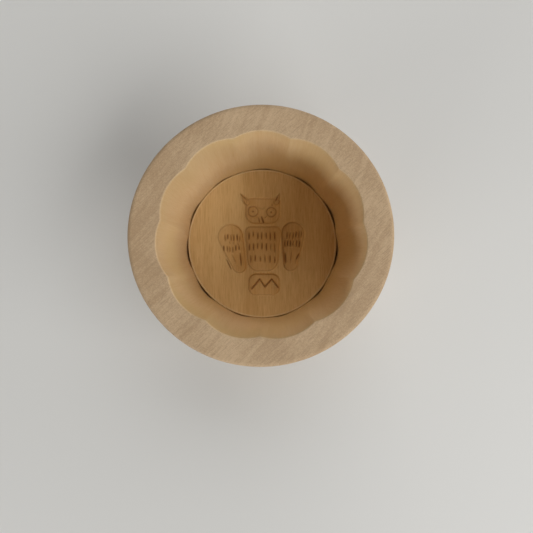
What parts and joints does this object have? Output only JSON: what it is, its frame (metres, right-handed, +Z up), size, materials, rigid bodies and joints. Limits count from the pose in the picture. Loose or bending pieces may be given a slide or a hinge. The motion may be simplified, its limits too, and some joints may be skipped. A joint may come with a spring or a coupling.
{
  "type": "butter mould",
  "caption": "Round turned wooden butter mould: fluted cavity, carved owl print plate on a push stem that slides up through the base to press the butter out.",
  "frame": {"origin": "centre of the case's flat foot, on the surface it stands on", "axes": "+Z up out of the mould's mouth along the turning axis; +Y towards the top of the carved owl, +X to the owl's right-hand side as seen from above"},
  "size_m": [0.1, 0.1, 0.066],
  "materials": {
    "case_wood": "bare pale maple, turned and sanded, end grain at the rim, darker and butter-stained inside",
    "plate_wood": "bare maple, long grain across the plate, darkened by butter",
    "stem_wood": "bare turned maple, end grain at the pushed end"
  },
  "bodies": {
    "case": {"case": "case_wood"},
    "plunger": {"print_plate": "plate_wood", "push_stem": "stem_wood"}
  },
  "joints": [
    {"name": "plunger_slide", "type": "slide", "parent": "case", "child": "plunger", "axis": [0, 0, 1], "range_m": [0, 0.0515]}
  ]
}
